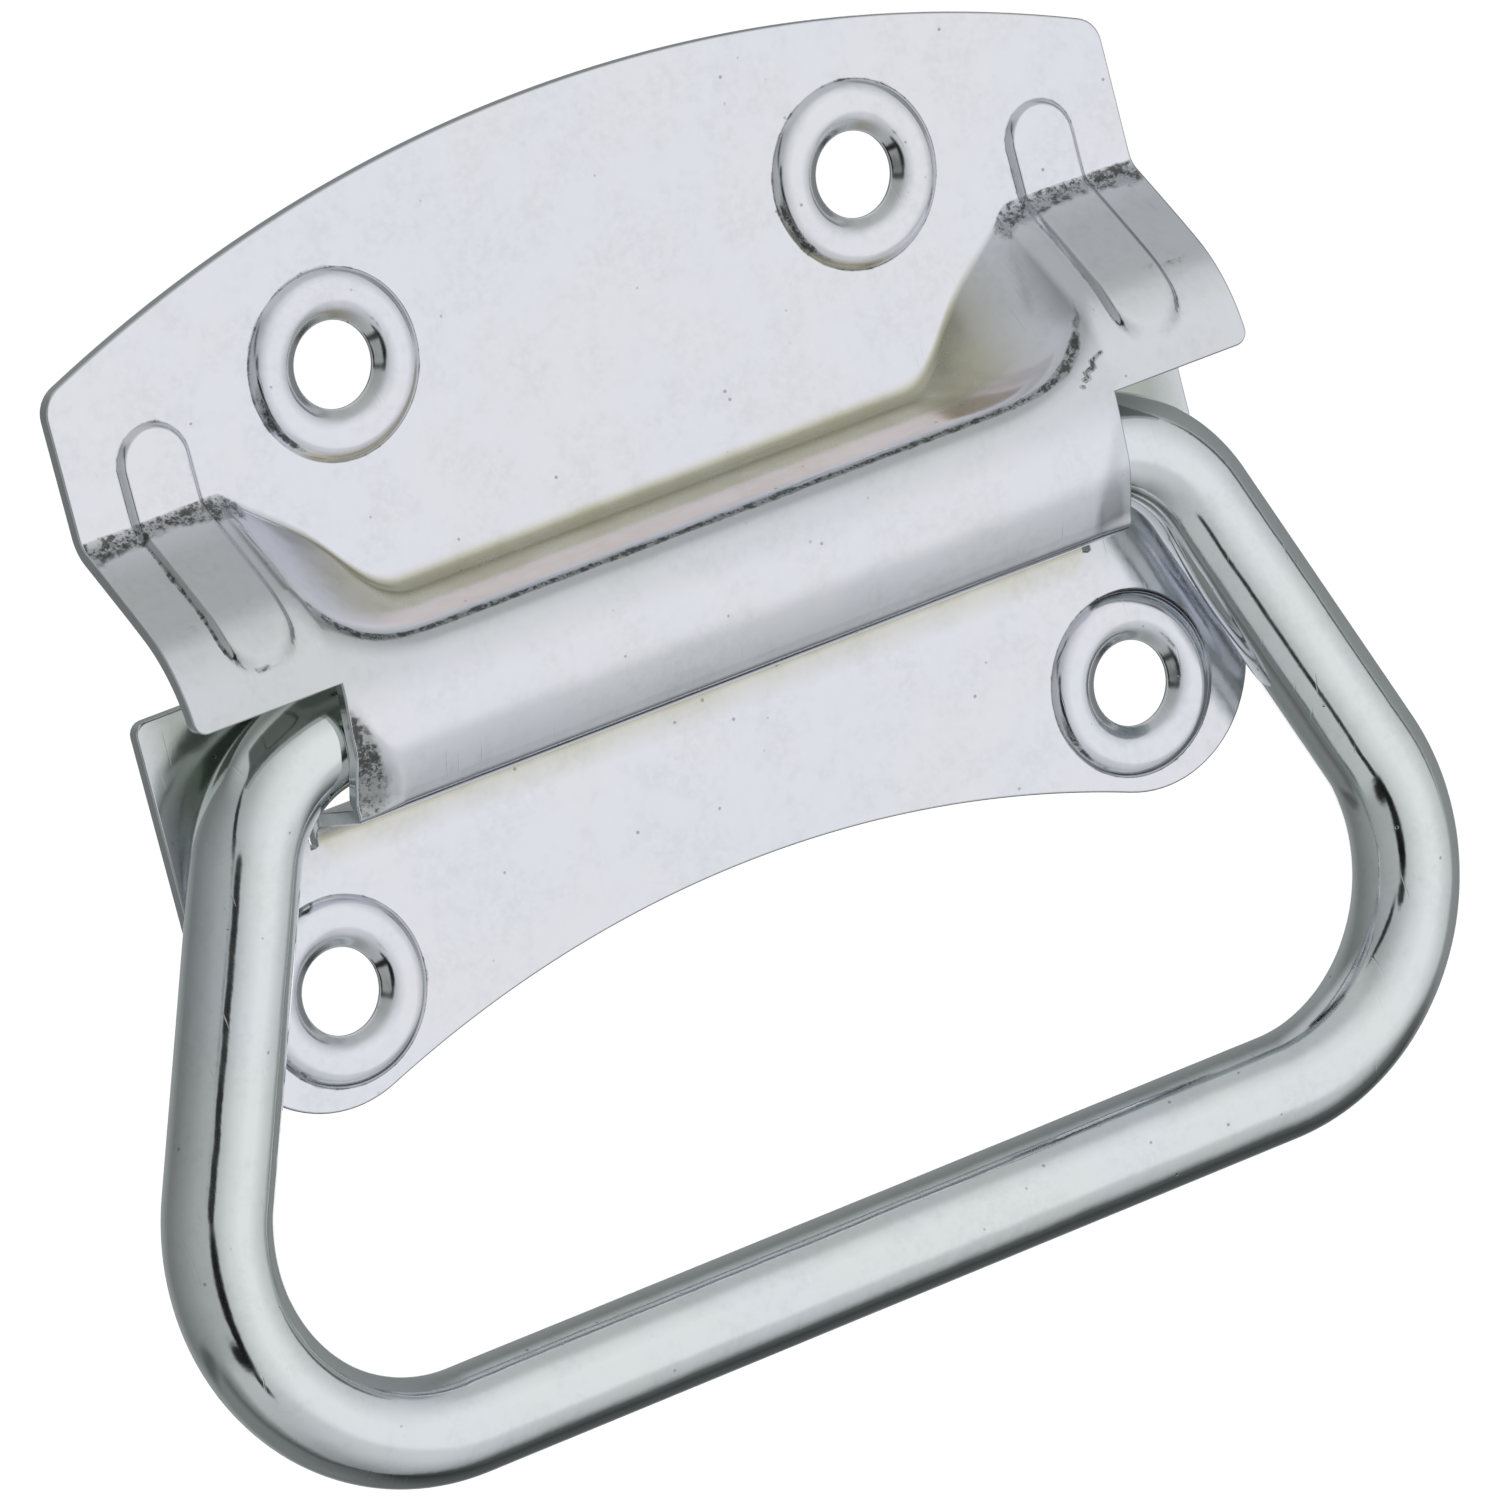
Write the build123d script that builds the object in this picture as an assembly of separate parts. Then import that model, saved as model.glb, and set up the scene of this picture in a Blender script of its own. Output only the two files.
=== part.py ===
from build123d import *
from math import hypot, radians, tan
import os

# Chest handle: a plate pressed from one steel sheet, and a bail bent from one steel rod.
# Millimetres. X runs along the plate, Y goes into the wall that the plate is screwed to,
# and Z is up. The back of the plate is at Y=0 and the upper screw row at Z=0.
# A drop is a distance down from the upper screw row.

# Sheet
SHEET = 0.9  # thickness
HALF_WIDTH = 36.0  # middle of the plate to its straight sides
ARCH_TOP = 10.95  # top of the arched edge above the upper screw row
ARCH_RADIUS = 92.0
TOP_CORNER_RADIUS = 1.8

# Screw holes and the raised rings round them
UPPER_HOLE_X = 17.8
LOWER_HOLE_X = 27.4
LOWER_HOLE_DROP = 33.9
HOLE_RADIUS = 2.5
HOLE_MOUTH_RADIUS = 3.3
HOLE_LAND = 0.3  # straight stretch of the hole's wall, at its back
RING_RADIUS = 5.5  # foot of the ring
RING_SLOPE = 0.8  # width of its sloped side
RING_HEIGHT = 0.65

# Wings and barrel, whose upper part is one bent surface
BEND_DROP = 4.9
BEND_RADIUS = 1.2
WING_ANGLE = 46.0  # out of the vertical
WING_RADIUS = 9.0  # where the wing turns down
LIP_DROP = 15.55  # lower edge of the wings
LIP_CORNER_RADIUS = 0.8
BARREL_DEPTH = 8.75  # wall to the front of the barrel
BARREL_RADIUS = 10.0  # bulge of the barrel's front
BARREL_LEAN = 28.0  # lower front of the barrel, back towards the wall
BARREL_FOOT_DEPTH = 6.95  # wall to the lower front corner
BARREL_DROP = 23.9
BARREL_FLOOR_SLOPE = 6.0
BARREL_CORNER_RADIUS = 1.3
BARREL_HALF_LENGTH = 26.5

# Valley between the wings, pressed back to a tongue that lies on the wall
VALLEY_TOP_X = 26.9  # where it starts, level with the bend
VALLEY_WAIST_X = 21.6
VALLEY_WAIST_DROP = 9.4
VALLEY_FOOT_X = 17.0
VALLEY_FOOT_DROP = 13.3
VALLEY_FOOT_SLOPE = 8.0  # fall of its lowest wall towards the front
CREST_RADIUS = 2.4  # between that wall and the front of the barrel
KNEE_START = 0.25  # height of the hollow bend in the side wall, as a share of the wall's height,
KNEE_END = 0.6  # at the valley's foot and at its top
VALLEY_STATIONS = 4  # runs between sections along each side wall

# Stiffening beads across the bends
BEAD_X = 30.3
BEAD_WIDTH = 4.7
BEAD_TOP = 0.6
BEAD_DROP = 13.4
BEAD_HEIGHT = 0.45
BEAD_WALL = 0.5

# Ears behind the bail, and the lower flange
EAR_GAP = 0.4  # slit between an ear and the barrel
EAR_DROP = 15.35  # top edge
EAR_CORNER_RADIUS = 0.8
SLIT_DROP = 24.6  # lower end of the slit
FOOT_HALF_WIDTH = 35.7  # middle of the flange to the straight sides of flange and ears
FOOT_CORNER_RADIUS = 7.5
FOOT_DROP = 40.5  # lowest points of the flange
FOOT_ARCH_DROP = 35.5  # top of the hollow lower edge

# Bail
ROD_RADIUS = 3.175
ROD_CLEARANCE = 0.15  # rod to the ears behind it
AXLE_DROP = 18.9
ROD_END_GAP = 3.0  # between the two ends inside the barrel
LEG_TOP_X = 30.7  # where the lines of the axle and a leg cross
LEG_FLARE = 22.0
LEG_BEND_RADIUS = 8.5
GRIP_DROP = 40.0  # axle down to the grip, between centre lines
GRIP_BEND_RADIUS = 12.5

# Places that follow from the sizes above
AXLE_Y = -(SHEET + ROD_CLEARANCE + ROD_RADIUS)
SECTION_TOP = BEAD_TOP + SHEET  # how far the pressed section runs on into the flat sheet
SECTION_DROP = SLIT_DROP + 2 * SHEET
SPARE = 0.1  # how far a cut reaches past the sheet
PARALLEL = 1e-6


def section_shape(drop, share):
    """Corners and crest radius of the section that leaves the wall at drop.

    share runs from 0 in the straight part of the valley to 1 at the wings.
    """
    ease = share**3
    rise = BARREL_DEPTH - SHEET
    foot_crest = VALLEY_FOOT_DROP + rise * tan(radians(VALLEY_FOOT_SLOPE))
    wing_crest = BEND_DROP + rise / tan(radians(WING_ANGLE))
    crest = foot_crest + (wing_crest - foot_crest) * ease
    knee_share = KNEE_START + (KNEE_END - KNEE_START) * share
    straight = drop + knee_share * (crest - drop)
    steep = crest - (1 - knee_share) * (foot_crest - VALLEY_FOOT_DROP)
    knee = (-SHEET - knee_share * rise, -steep - (straight - steep) * ease)
    return drop, knee, crest, CREST_RADIUS + (WING_RADIUS - CREST_RADIUS) * ease**2


def crossing(first, second):
    """Where two lines meet, each given by two points. Lines that run on meet at the second point."""
    (ax, ay), (bx, by) = first
    (cx, cy), (dx, dy) = second
    turn = (bx - ax) * (dy - cy) - (by - ay) * (dx - cx)
    if abs(turn) < PARALLEL:
        return bx, by
    share = ((cx - ax) * (dy - cy) - (cy - ay) * (dx - cx)) / turn
    return (ax + share * (bx - ax), ay + share * (by - ay))


def shifted(points, shifts):
    """Corners of an open outline after each of its runs has moved to its left."""
    runs = []
    for (ax, ay), (bx, by), shift in zip(points, points[1:], shifts):
        step = shift / hypot(bx - ax, by - ay)
        left = ((ay - by) * step, (bx - ax) * step)
        runs.append(((ax + left[0], ay + left[1]), (bx + left[0], by + left[1])))
    middle = [crossing(first, second) for first, second in zip(runs, runs[1:])]
    return [runs[0][0], *middle, runs[-1][1]]


def rounded(points, radii, knee=None):
    """Open outline with rounded corners, each no larger than its two runs have room for.

    The corner with the number knee has no arc: one curve passes it, from arc to arc.
    """
    points = [Vector(point) for point in points]
    runs = [b - a for a, b in zip(points, points[1:])]
    turns = [tan(radians(a.get_angle(b)) / 2) for a, b in zip(runs, runs[1:])]
    takes = [0, *[radius * turn for radius, turn in zip(radii, turns)], 0]
    needs = [a + b for a, b in zip(takes, takes[1:])]
    room = [min(1, 0.98 * run.length / need) if need else 1 for run, need in zip(runs, needs)]
    edges = []
    here = points[0]
    bend = None
    for number in range(1, len(points) - 1):
        corner, before, after = points[number], runs[number - 1], runs[number]
        if number == knee:
            bend = corner
            continue
        take = takes[number] * min(room[number - 1 : number + 1])
        near = corner - before.normalized() * take
        edges.append(Bezier(here, bend, near) if bend else Line(here, near))
        here = corner + after.normalized() * take
        bend = None
        if take:
            edges.append(TangentArc(near, here, tangent=before))
    edges.append(Line(here, points[-1]))
    return Wire(edges)


def section(inset, drop, knee, crest_drop, radius):
    """Front of the pressed sheet seen along X, moved in by inset, from the top down.

    The sheet leaves the wall at drop and leans forward through the knee. Its line meets the
    line of the barrel's front at crest_drop, and radius rounds that corner.
    """
    corner = (-BARREL_FOOT_DEPTH, -BARREL_DROP)
    front = ((-BARREL_DEPTH, 0), (-BARREL_DEPTH, -1))
    lean = (corner, (corner[0] - tan(radians(BARREL_LEAN)), corner[1] + 1))
    floor = (corner, (corner[0] + 1, corner[1] - tan(radians(BARREL_FLOOR_SLOPE))))
    flange = ((-SHEET, 0), (-SHEET, -1))
    points = [
        (-SHEET, SECTION_TOP),
        (-SHEET, -drop),
        knee,
        (-BARREL_DEPTH, -crest_drop),
        crossing(front, lean),
        corner,
        crossing(floor, flange),
        (-SHEET, -SECTION_DROP),
    ]
    outward = [radius, BARREL_RADIUS, BARREL_CORNER_RADIUS]
    radii = [BEND_RADIUS + inset, 0, *[max(size - inset, 0) for size in outward], BEND_RADIUS + inset]
    return rounded(shifted(points, [inset] * (len(points) - 1)), radii, knee=points.index(knee))


def sheet_section(x, shape, front_inset=0, back_inset=SHEET):
    """Section at x of the sheet, or of a layer between two insets from its front."""
    front, back = section(front_inset, *shape), section(back_inset, *shape)
    ends = [Line(front @ end, back @ end) for end in (0, 1)]
    return Plane.YZ.offset(x) * make_face([*front.edges(), *back.edges(), *ends])


def valley_side():
    """One side wall of the valley, from its foot out to the wing."""
    edge = Spline(
        (VALLEY_FOOT_X, -VALLEY_FOOT_DROP),
        (VALLEY_WAIST_X, -VALLEY_WAIST_DROP),
        (VALLEY_TOP_X, -BEND_DROP),
        tangents=[(1, 0), (VALLEY_TOP_X - VALLEY_WAIST_X, VALLEY_WAIST_DROP - BEND_DROP)],
    )
    faces = []
    for station in range(VALLEY_STATIONS + 1):
        share = station / VALLEY_STATIONS
        spot = edge @ share
        faces.append(sheet_section(spot.X, section_shape(-spot.Y, share)))
    return loft(faces)


def pressed_middle():
    """Barrel, valley and wings, down to the lips and to the barrel's floor."""
    barrel = extrude(sheet_section(0, section_shape(VALLEY_FOOT_DROP, 0)), VALLEY_FOOT_X, both=True)
    side = valley_side()
    wing = extrude(sheet_section(VALLEY_TOP_X, section_shape(BEND_DROP, 1)), HALF_WIDTH - VALLEY_TOP_X)
    blank = extrude(Plane.XZ * middle_outline(), 2 * BARREL_DEPTH, both=True)
    return barrel + both_sides((side + wing) & blank)


def middle_outline():
    """Right half of the barrel and its wing seen from the front, from inside the valley outwards."""
    corner = (Align.MIN, Align.MAX)
    wing = Pos(0, SECTION_TOP) * Rectangle(HALF_WIDTH, SECTION_TOP + LIP_DROP, align=corner)
    tip = wing.vertices().group_by(Axis.X)[-1].sort_by(Axis.Y)[0]
    barrel = Pos(0, SECTION_TOP) * Rectangle(BARREL_HALF_LENGTH, SECTION_TOP + SECTION_DROP, align=corner)
    return fillet(tip, LIP_CORNER_RADIUS) + barrel


def flat_sheet(outline):
    """Flat steel sheet on the wall, from an outline in X and Z."""
    return extrude(Plane.XZ * outline, SHEET)


def upper_flange():
    centre = ARCH_TOP - ARCH_RADIUS
    arch = Pos(0, centre) * Circle(ARCH_RADIUS)
    outline = arch & Rectangle(2 * HALF_WIDTH, ARCH_TOP, align=(Align.CENTER, Align.MIN))
    corners = outline.vertices().sort_by(Axis.Y)[-2:]
    return flat_sheet(fillet(corners, TOP_CORNER_RADIUS))


def lower_flange():
    """Flange and ears, with round corners that run into the hollow lower edge."""
    corner = (FOOT_HALF_WIDTH - FOOT_CORNER_RADIUS, FOOT_CORNER_RADIUS - FOOT_DROP)
    rise = corner[1] + FOOT_ARCH_DROP
    # Radius of the hollow edge that touches both round corners
    hollow = (corner[0] ** 2 + rise**2 - FOOT_CORNER_RADIUS**2) / (2 * (FOOT_CORNER_RADIUS - rise))
    touch_x = corner[0] * hollow / (hollow + FOOT_CORNER_RADIUS)
    hung = (Align.CENTER, Align.MAX)
    outline = Pos(0, -SECTION_DROP) * Rectangle(2 * FOOT_HALF_WIDTH, -SECTION_DROP - corner[1], align=hung)
    outline += Pos(0, corner[1]) * Rectangle(2 * touch_x, FOOT_CORNER_RADIUS, align=hung)
    for side in (1, -1):
        outline += Pos(side * corner[0], corner[1]) * Circle(FOOT_CORNER_RADIUS)
    outline -= Pos(0, -FOOT_ARCH_DROP - hollow) * Circle(hollow)
    return flat_sheet(outline)


def ear():
    """Flat tongue behind one leg of the bail, free of the barrel along its slit."""
    corner = (Align.MIN, Align.MIN)
    width = FOOT_HALF_WIDTH - BARREL_HALF_LENGTH
    tongue = Rectangle(width - EAR_GAP, SECTION_DROP - EAR_DROP, align=corner)
    tongue = fillet(tongue.vertices().sort_by(Axis.Y)[-2:], EAR_CORNER_RADIUS)
    root = Pos(-EAR_GAP, 0) * Rectangle(width, SECTION_DROP - SLIT_DROP, align=corner)
    return flat_sheet(Pos(BARREL_HALF_LENGTH + EAR_GAP, -SECTION_DROP) * (tongue + root))


def both_sides(right):
    return right + mirror(right, about=Plane.YZ)


def ring(x, z):
    """Raised ring with its tapered screw hole, and the disc of sheet that it replaces."""
    top = SHEET + RING_HEIGHT
    front = [
        (RING_RADIUS + SHEET, SHEET),
        (RING_RADIUS, SHEET),
        (RING_RADIUS - RING_SLOPE, top),
        (HOLE_MOUTH_RADIUS, top),
    ]
    outer, inner = shifted(front, [SHEET] * 3)[1:3]
    hole = [(HOLE_RADIUS, RING_HEIGHT + HOLE_LAND), (HOLE_RADIUS, RING_HEIGHT)]
    points = [(RING_RADIUS, 0), *front[1:], *hole, inner, outer]
    outline = make_face(Polyline(*points, close=True))
    half = Plane((x, 0, z), x_dir=(1, 0, 0), z_dir=(0, 0, -1)) * outline
    pressed = revolve(half, Axis((x, 0, z), (0, 1, 0)))
    disc = flat_sheet(Pos(x, z) * Circle(RING_RADIUS))
    return pressed, disc


def bead():
    """Raised bead across a wing's bend, and the groove behind it."""
    length = BEAD_TOP + BEAD_DROP
    wing = section_shape(BEND_DROP, 1)
    layers = []
    for width, front, back in (
        (BEAD_WIDTH, -BEAD_HEIGHT, SHEET / 2),
        (BEAD_WIDTH - 2 * BEAD_WALL, SHEET - BEAD_HEIGHT, SHEET + SPARE),
    ):
        slot = Rot(0, 0, 90) * SlotOverall(length + width - BEAD_WIDTH, width)
        slot = Pos(BEAD_X, BEAD_TOP - length / 2) * slot
        layer = extrude(sheet_section(BEAD_X, wing, front, back), BEAD_WIDTH, both=True)
        layers.append(layer & extrude(Plane.XZ * slot, 2 * BARREL_DEPTH, both=True))
    return layers


def back_plate():
    plate = pressed_middle() + upper_flange() + lower_flange() + both_sides(ear())
    raised, groove = bead()
    plate = plate + both_sides(raised) - both_sides(groove)
    for x, z in ((UPPER_HOLE_X, 0), (LOWER_HOLE_X, -LOWER_HOLE_DROP)):
        pressed, disc = ring(x, z)
        plate = plate - both_sides(disc) + both_sides(pressed)
    return plate


def bail():
    """Rod from its end inside the barrel, round the grip and back to its other end."""
    grip_x = LEG_TOP_X + GRIP_DROP * tan(radians(LEG_FLARE))
    half = [(ROD_END_GAP / 2, 0), (LEG_TOP_X, 0), (grip_x, -GRIP_DROP)]
    points = [*half, *[(-x, z) for x, z in reversed(half)]]
    plane = Plane((0, AXLE_Y, -AXLE_DROP), x_dir=(1, 0, 0), z_dir=(0, -1, 0))
    radii = [LEG_BEND_RADIUS, GRIP_BEND_RADIUS, GRIP_BEND_RADIUS, LEG_BEND_RADIUS]
    path = plane * FilletPolyline(*points, radius=radii)
    return sweep(Plane(path @ 0, z_dir=path % 0) * Circle(ROD_RADIUS), path=path)


os.makedirs("parts", exist_ok=True)
for name, shape in (("back_plate", back_plate()), ("bail", bail())):
    print(name, round(shape.volume, 1), shape.is_valid, len(shape.solids()), shape.bounding_box())
    export_step(shape, "parts/" + name + ".step")
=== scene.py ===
from math import atan2, cos, degrees, hypot, pi, radians, sin, sqrt, tan

import bpy
from mathutils import Matrix, Vector
from mathutils.geometry import delaunay_2d_cdt


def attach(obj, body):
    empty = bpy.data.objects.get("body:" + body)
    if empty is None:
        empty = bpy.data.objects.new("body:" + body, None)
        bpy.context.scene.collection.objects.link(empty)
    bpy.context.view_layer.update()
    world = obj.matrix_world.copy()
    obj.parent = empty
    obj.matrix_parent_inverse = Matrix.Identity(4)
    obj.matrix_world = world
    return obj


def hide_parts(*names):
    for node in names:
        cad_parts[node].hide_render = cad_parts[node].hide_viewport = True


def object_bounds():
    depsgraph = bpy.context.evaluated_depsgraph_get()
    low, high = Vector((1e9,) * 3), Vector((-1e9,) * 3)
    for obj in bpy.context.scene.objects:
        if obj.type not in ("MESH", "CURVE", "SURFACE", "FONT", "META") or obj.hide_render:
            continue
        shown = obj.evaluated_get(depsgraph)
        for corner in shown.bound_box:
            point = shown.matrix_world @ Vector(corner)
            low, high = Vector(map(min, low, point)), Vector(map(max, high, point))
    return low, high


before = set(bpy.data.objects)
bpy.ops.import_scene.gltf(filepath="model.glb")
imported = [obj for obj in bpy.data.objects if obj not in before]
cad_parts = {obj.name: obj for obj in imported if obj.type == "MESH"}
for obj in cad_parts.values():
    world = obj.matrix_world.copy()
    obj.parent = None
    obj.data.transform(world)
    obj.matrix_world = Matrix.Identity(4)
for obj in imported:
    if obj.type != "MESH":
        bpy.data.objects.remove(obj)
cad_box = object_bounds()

# The handle's own sizes are in millimetres, and everything else is in metres.
MM = 0.001

# Sheet
SHEET = 0.9
HALF_WIDTH = 36.0
ARCH_TOP = 10.95
ARCH_RADIUS = 92.0
TOP_CORNER_RADIUS = 1.8
EDGE = 0.14  # rounding of the cut edges
HOLE_EDGE = 0.07

# Screw holes and the raised rings round them
UPPER_HOLE_X = 17.8
LOWER_HOLE_X = 27.4
LOWER_HOLE_DROP = 33.9
HOLE_RADIUS = 2.5
HOLE_MOUTH_RADIUS = 3.45
HOLE_LAND = 0.2
RING_RADIUS = 5.5
RING_SLOPE = 0.8
RING_SHOULDER_RUN = 0.43  # the slope's steep start in front, rounded over into a soft dome
RING_HEIGHT = 0.65
RING_REACH = 0.45  # flat sheet round the foot that belongs to the ring's mesh
RING_FOOT_ROUND = 0.14
RING_SHOULDER_ROUND = 1.45
RING_MOUTH_ROUND = 1.6
RING_BACK_INSET = 0.378
RING_BACK_ROUNDS = (0.3, 0.25)

# Wings and barrel
BEND_DROP = 4.9
BEND_RADIUS = 1.2
WING_ANGLE = 46.0
WING_RADIUS = 9.0
WING_CROWN = 0.26  # bulge of the wing's slope
LIP_DROP = 15.55
LIP_CORNER_RADIUS = 0.8
BARREL_DEPTH = 8.75
BARREL_RADIUS = 10.0
BARREL_LEAN = 28.0
BARREL_FOOT_DEPTH = 6.95
BARREL_DROP = 23.9
BARREL_FLOOR_SLOPE = 6.0
BARREL_CORNER_RADIUS = 1.3
BARREL_HALF_LENGTH = 26.5

# Valley between the wings
VALLEY_TOP_X = 26.9
VALLEY_WAIST_X = 21.6
VALLEY_WAIST_DROP = 9.4
VALLEY_FOOT_X = 17.0
VALLEY_FOOT_DROP = 13.3
VALLEY_FOOT_SLOPE = 8.0
CREST_RADIUS = 2.4
KNEE_START = 0.25
KNEE_END = 0.6

# Beads
BEAD_X = 30.3
BEAD_WIDTH = 4.7
BEAD_TOP = 0.6
BEAD_DROP = 13.4
BEAD_HEIGHT = 0.45
BEAD_WALL = 0.45

# Ears and lower flange
EAR_GAP = 0.4
EAR_DROP = 15.35
EAR_CORNER_RADIUS = 0.8
FOOT_HALF_WIDTH = 35.7
FOOT_CORNER_RADIUS = 7.5
FOOT_DROP = 40.5
FOOT_ARCH_DROP = 35.5

# Bail
ROD_RADIUS = 3.175
ROD_SKIN = 0.01  # keeps the round rod inside its solid's box
ROD_CLEARANCE = 0.15
AXLE_DROP = 18.9
ROD_END_GAP = 3.0
LEG_TOP_X = 30.7
LEG_FLARE = 22.0
LEG_BEND_RADIUS = 8.5
GRIP_DROP = 40.0
GRIP_BEND_RADIUS = 12.5

# Barrel ends, pressed in along a crease that runs down and inwards from the lip
DENT_DROP = 15.7
DENT_FOOT_DROP = 21.6
DENT_WIDTH = 2.7
DENT_SLOPE = 0.34
DENT_SOFT_START = 0.3
DENT_LIMIT = 0.38
DENT_LOW_LIMIT = 0.75
DENT_LOW_DROP = 20.0  # below it the dent deepens to its low limit
DENT_END_RISE = 1.2  # how far above the barrel's floor it begins to fade out
DENT_FADE = 1.6
DENT_RIGHT_SHARE = 0.4

# Mesh: columns across the plate, rows down its section, and points round the rings and the rod
MIDDLE_COLUMNS = 26
SIDE_COLUMNS = 34
SIDE_STEPS = (2.4, 1.8, 1.2, 0.8, 0.6, 0.4, 0.28, 0.2, 0.155, EDGE)  # inwards from the plate's side
BEND_ROWS = 10
SLOPE_ROWS = 26
CREST_ROWS = 14
LOW_CREST_ROWS = 6
BARREL_ROWS = (3, 8, 6, 10, 6)  # front, bulge, lean, corner and floor
FOOT_ROWS = 9
FLAT_GRID = 1.6
FLAT_POINT_GAP = 0.08  # least distance from the points in the flat sheet to its edge
FLAT_RING_GAP = 0.2
FLAT_BEAD_GAP = 0.5
BEAD_POINTS_DROP = 4.2  # how far down the flat sheet's points follow the beads
BEAD_POINTS_STEP = 0.3
EDGE_TURNS = (22.5, 45, 67.5, 90)
RING_FRONT_ROWS = (2, 4, 2, 16, 2, 10, 5)
RING_BACK_ROWS = (6, 4, 7, 4, 20)
ROD_ROWS = (24, 30, 24, 48, 60, 48, 24, 30, 24)
RING_SPOKES = 96
ROD_SPOKES = 96
ROD_END_RADII = (0.0, 1.2, 2.2)
ROD_END_ROUND = 0.5

# Camera, at the photograph's viewing angle
CAMERA_PLACE = (-0.37587, -0.68391, 0.14098)
CAMERA_AIM = (-0.00001, -0.00423, -0.02857)
CAMERA_ROLL = 14.45
CAMERA_LENS = 336.0
CAMERA_SENSOR = 36.0

# Marks in the plating: crease is painted shade and painted dark reflection lines, with a few real nicks, and
# recess is painted shade in hollows, under the wings and on the rod
MARKS = ("crease", "olive", "rose", "recess")
PLAIN = (0.0, 0.0, 0.0, 0.0)
# painted shade and dark lines along the sheet's rounded cut edges
EDGE_SHADE_MARKS = (0.25, 0.0, 0.0, 0.3)
WING_TOP_SHADE = 0.32  # painted shade on the wings, the crest and the barrel's top
# share of that painted shade kept on the right, beyond the barrel
RIGHT_SHADE_SHARE = 0.72
# painted shade in the bends at the wings' foot, and a painted dark reflection line along the crest
BEND_SHADE = 1.3
CREST_DARK_REFLECTION = 1.65
CREST_LINE_TILT = 43  # turn of the crest, in degrees, at which its painted dark reflection line runs
CREST_LINE_WIDTH = 8
FOOT_OLIVE = 0.8
# painted shade line along the barrel's foot
FOOT_SHADE = 0.5
# painted shade, black speckle, where the barrel's ends are pressed in, and the cap on their painted recess
# shade
DENT_SHADE = 1.75
DENT_RIGHT_SHADE = 0.3
DENT_SHADE_LIMIT = 0.5
# painted shade lines along the beads' foot and shoulder
BEAD_LEFT_SHADE = 1.275
BEAD_RIGHT_SHADE = 0.765
BEAD_SHADE = 0.51
BEAD_SHOULDER_SHADE = 0.22
# painted shade on the ears, on the sheet's back and on the rod, where the wings hide them
EAR_SHADE = 0.85
UNDERSIDE_SHADE = 0.8
ROD_SHADE = 0.75
NICK = (25.75, -13.6)
NICK_SIZE = (0.3, 1.25)
NICK_LEAN = 1.2
NICK_CREASE = 1.6

# Marks on the rings, all painted: shade line at the foot, dark reflection streak at the lower left, dark
# reflection line and shade at the mouth
RING_FOOT_SHADE = 0.8
RING_FOOT_WIDTH = 0.09
STREAK_DARK_REFLECTION = 1.9
LOW_STREAK_DARK_REFLECTION = 1.2
STREAK_INSET = 0.28
STREAK_WIDTH = 0.19
STREAK_TURN = 206
STREAK_SPREAD = 30
MOUTH_DARK_REFLECTION = 0.8
MOUTH_INSET = 0.1
MOUTH_WIDTH = 0.12
MOUTH_TURN = 28
MOUTH_SPREAD = 26
MOUTH_SHADE = 0.42
MOUTH_SHADE_RUN = 0.7

# Floor and lamp
FLOOR_GAP = 0.1
FLOOR_TURN = 29.3  # the floor runs away from the camera, behind the handle
FLOOR_FRONT = 0.26
FLOOR_BACK = 3.0
FLOOR_NEAR_HALF = 0.1
FLOOR_FAR_HALF = 0.5
FLOOR_WHITE = 0.86
FLOOR_LIFT = 0.58
LAMP_PLACE = (0.25, -0.45, 1.3)
LAMP_SIZE = 1.0
LAMP_POWER = 3.0

# Studio: brightness round the handle by azimuth and by elevation in degrees, and the dark gaps in it
STUDIO_ROUND = [
    (-180, 0.36), (-150, 0.22), (-135, 0.24), (-100, 0.34), (-75, 0.44), (-45, 0.51), (-30, 0.60),
    (-12, 0.78), (15, 0.95), (35, 0.95), (60, 0.74), (76, 0.64), (86, 0.32), (140, 0.26), (180, 0.36),
]
STUDIO_UPWARDS = [
    (-90, 0.90), (-20, 0.98), (20, 0.99), (33, 0.93), (45, 0.88), (62, 0.78), (90, 0.80),
]
STUDIO_ZENITH = 0.57
ZENITH_SPAN = (42.0, 66.0)  # elevations between which the zenith takes over
# Light that comes back from the table, by azimuth, and how it fades straight down
STUDIO_LOW_ROUND = [
    (-180, 0.22), (-130, 0.24), (-112, 0.14), (-95, 0.32), (-80, 0.57), (-30, 0.61), (25, 0.74), (40, 0.67),
    (55, 0.58), (66, 0.38), (80, 0.14), (113, 0.07), (150, 0.12), (180, 0.22),
]
STUDIO_DOWNWARDS = [
    (-90, 0.45), (-83, 0.50), (-68, 0.74), (-55, 0.93), (-40, 1.0), (90, 1.0),
]
LOW_SPAN = (-28.0, -40.0)  # elevations between which the table takes over
# Each gap: azimuth, elevation, half width, half height, softness, lean, level
STUDIO_DARKS = [
    (68, 58, 20, 12, 0.8, 0, 0.56),
    (-41, 11.5, 6.5, 6, 0.25, -20, 0.03),
    (-38, -13, 8, 21, 0.25, -8, 0.01),
    (-46, -30, 15, 5, 0.35, 0, 0.01),
    (-36.5, -37.5, 5, 4, 0.3, 0, 0.02),
    (-60, 36, 4.5, 19, 0.3, -22, 0.03),
    (-130, -30, 20, 4, 0.5, 0, 0.12),
    (78, 7, 3, 18, 0.3, 0, 0.12),
    (104, 60, 5, 5, 0.5, 0, 0.10),
]
STUDIO_DARK_TINT = (0.925, 0.985, 0.985, 1)
STUDIO_LIGHT_TINT = (0.985, 0.985, 1.0, 1)
WHITE = (1, 1, 1, 1)

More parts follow.
